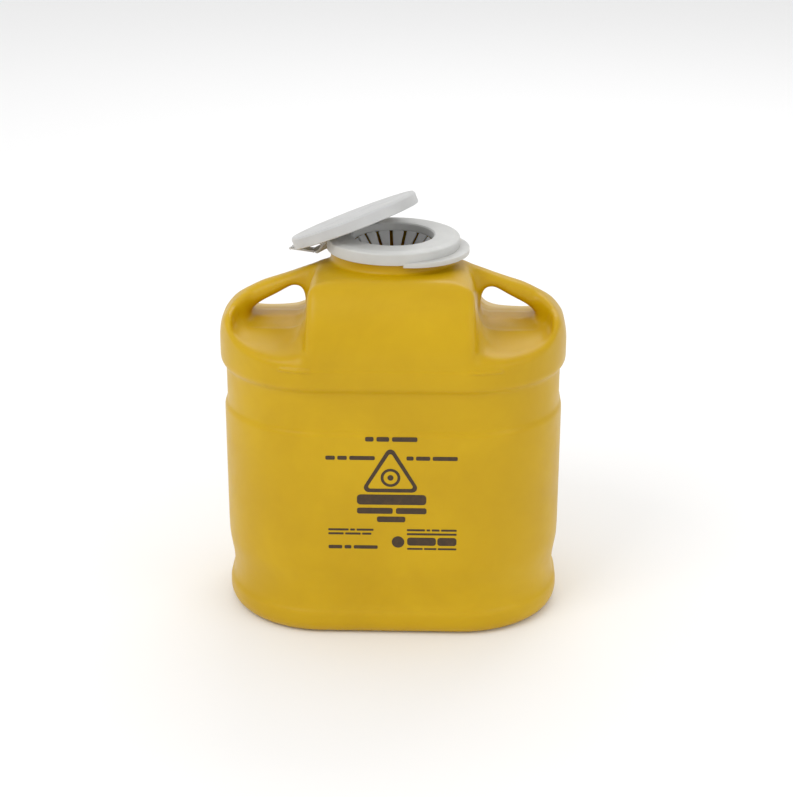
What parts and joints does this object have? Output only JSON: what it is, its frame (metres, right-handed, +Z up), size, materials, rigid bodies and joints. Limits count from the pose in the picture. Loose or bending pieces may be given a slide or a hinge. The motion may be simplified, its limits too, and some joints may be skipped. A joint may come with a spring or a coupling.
{
  "type": "sharps container",
  "caption": "Rounded rectangular sharps tank with two carrying handles, a push-fit round lid ring with inward guard fingers, and a strap-hinged closing flap.",
  "frame": {"origin": "centre of the flat base, at the floor", "axes": "+Z up, +X toward the handle on the viewer's right, front face with the raised dashes toward -Y"},
  "size_m": [0.2236, 0.1497, 0.2758],
  "materials": {
    "tank_plastic": "satin blow-moulded polyethylene",
    "lid_plastic": "translucent natural white polypropylene"
  },
  "bodies": {
    "container": {"tank": "tank_plastic", "lid_ring": "lid_plastic"},
    "strap": {"hinge_strap": "lid_plastic", "hinge_film": "lid_plastic"},
    "flap": {"flap": "lid_plastic"},
    "guard_finger_01": {"guard_finger_01": "lid_plastic"},
    "guard_finger_02": {"guard_finger_02": "lid_plastic"},
    "guard_finger_03": {"guard_finger_03": "lid_plastic"},
    "guard_finger_04": {"guard_finger_04": "lid_plastic"},
    "guard_finger_05": {"guard_finger_05": "lid_plastic"},
    "guard_finger_06": {"guard_finger_06": "lid_plastic"},
    "guard_finger_07": {"guard_finger_07": "lid_plastic"},
    "guard_finger_08": {"guard_finger_08": "lid_plastic"},
    "guard_finger_09": {"guard_finger_09": "lid_plastic"},
    "guard_finger_10": {"guard_finger_10": "lid_plastic"},
    "guard_finger_11": {"guard_finger_11": "lid_plastic"},
    "guard_finger_12": {"guard_finger_12": "lid_plastic"},
    "guard_finger_13": {"guard_finger_13": "lid_plastic"},
    "guard_finger_14": {"guard_finger_14": "lid_plastic"},
    "guard_finger_15": {"guard_finger_15": "lid_plastic"},
    "guard_finger_16": {"guard_finger_16": "lid_plastic"}
  },
  "joints": [
    {"name": "strap_hinge", "type": "hinge", "parent": "container", "child": "strap", "pos_m": [-0.04657, 0.02172, 0.2348], "axis": [0.4226, 0.9063, 0], "range_deg": [0, 109.3]},
    {"name": "flap_hinge", "type": "hinge", "parent": "strap", "child": "flap", "pos_m": [-0.06219, 0.029, 0.23467], "axis": [-0.4226, -0.9063, 0], "range_deg": [0, 85.9]},
    {"name": "guard_finger_01_flex", "type": "hinge", "parent": "container", "child": "guard_finger_01", "pos_m": [0.00256, 0.02412, 0.24525], "axis": [0.9944, -0.1054, 0], "range_deg": [0, 30], "stiffness_Nm_per_rad": 0.004},
    {"name": "guard_finger_02_flex", "type": "hinge", "parent": "container", "child": "guard_finger_02", "pos_m": [-0.00687, 0.02326, 0.24525], "axis": [0.9591, 0.2832, 0], "range_deg": [0, 30], "stiffness_Nm_per_rad": 0.004},
    {"name": "guard_finger_03_flex", "type": "hinge", "parent": "container", "child": "guard_finger_03", "pos_m": [-0.01524, 0.01886, 0.24525], "axis": [0.7777, 0.6286, 0], "range_deg": [0, 30], "stiffness_Nm_per_rad": 0.004},
    {"name": "guard_finger_04_flex", "type": "hinge", "parent": "container", "child": "guard_finger_04", "pos_m": [-0.0213, 0.01159, 0.24525], "axis": [0.4779, 0.8784, 0], "range_deg": [0, 30], "stiffness_Nm_per_rad": 0.004},
    {"name": "guard_finger_05_flex", "type": "hinge", "parent": "container", "child": "guard_finger_05", "pos_m": [-0.02412, 0.00256, 0.24525], "axis": [0.1054, 0.9944, 0], "range_deg": [0, 30], "stiffness_Nm_per_rad": 0.004},
    {"name": "guard_finger_06_flex", "type": "hinge", "parent": "container", "child": "guard_finger_06", "pos_m": [-0.02326, -0.00687, 0.24525], "axis": [-0.2832, 0.9591, 0], "range_deg": [0, 30], "stiffness_Nm_per_rad": 0.004},
    {"name": "guard_finger_07_flex", "type": "hinge", "parent": "container", "child": "guard_finger_07", "pos_m": [-0.01886, -0.01524, 0.24525], "axis": [-0.6286, 0.7777, 0], "range_deg": [0, 30], "stiffness_Nm_per_rad": 0.004},
    {"name": "guard_finger_08_flex", "type": "hinge", "parent": "container", "child": "guard_finger_08", "pos_m": [-0.01159, -0.0213, 0.24525], "axis": [-0.8784, 0.4779, 0], "range_deg": [0, 30], "stiffness_Nm_per_rad": 0.004},
    {"name": "guard_finger_09_flex", "type": "hinge", "parent": "container", "child": "guard_finger_09", "pos_m": [-0.00256, -0.02412, 0.24525], "axis": [-0.9944, 0.1054, 0], "range_deg": [0, 30], "stiffness_Nm_per_rad": 0.004},
    {"name": "guard_finger_10_flex", "type": "hinge", "parent": "container", "child": "guard_finger_10", "pos_m": [0.00687, -0.02326, 0.24525], "axis": [-0.9591, -0.2832, 0], "range_deg": [0, 30], "stiffness_Nm_per_rad": 0.004},
    {"name": "guard_finger_11_flex", "type": "hinge", "parent": "container", "child": "guard_finger_11", "pos_m": [0.01524, -0.01886, 0.24525], "axis": [-0.7777, -0.6286, 0], "range_deg": [0, 30], "stiffness_Nm_per_rad": 0.004},
    {"name": "guard_finger_12_flex", "type": "hinge", "parent": "container", "child": "guard_finger_12", "pos_m": [0.0213, -0.01159, 0.24525], "axis": [-0.4779, -0.8784, 0], "range_deg": [0, 30], "stiffness_Nm_per_rad": 0.004},
    {"name": "guard_finger_13_flex", "type": "hinge", "parent": "container", "child": "guard_finger_13", "pos_m": [0.02412, -0.00256, 0.24525], "axis": [-0.1054, -0.9944, 0], "range_deg": [0, 30], "stiffness_Nm_per_rad": 0.004},
    {"name": "guard_finger_14_flex", "type": "hinge", "parent": "container", "child": "guard_finger_14", "pos_m": [0.02326, 0.00687, 0.24525], "axis": [0.2832, -0.9591, 0], "range_deg": [0, 30], "stiffness_Nm_per_rad": 0.004},
    {"name": "guard_finger_15_flex", "type": "hinge", "parent": "container", "child": "guard_finger_15", "pos_m": [0.01886, 0.01524, 0.24525], "axis": [0.6286, -0.7777, 0], "range_deg": [0, 30], "stiffness_Nm_per_rad": 0.004},
    {"name": "guard_finger_16_flex", "type": "hinge", "parent": "container", "child": "guard_finger_16", "pos_m": [0.01159, 0.0213, 0.24525], "axis": [0.8784, -0.4779, 0], "range_deg": [0, 30], "stiffness_Nm_per_rad": 0.004}
  ],
  "couplings": [
    {"joint": "flap_hinge", "follows": "strap_hinge", "ratio": 0.78499}
  ]
}
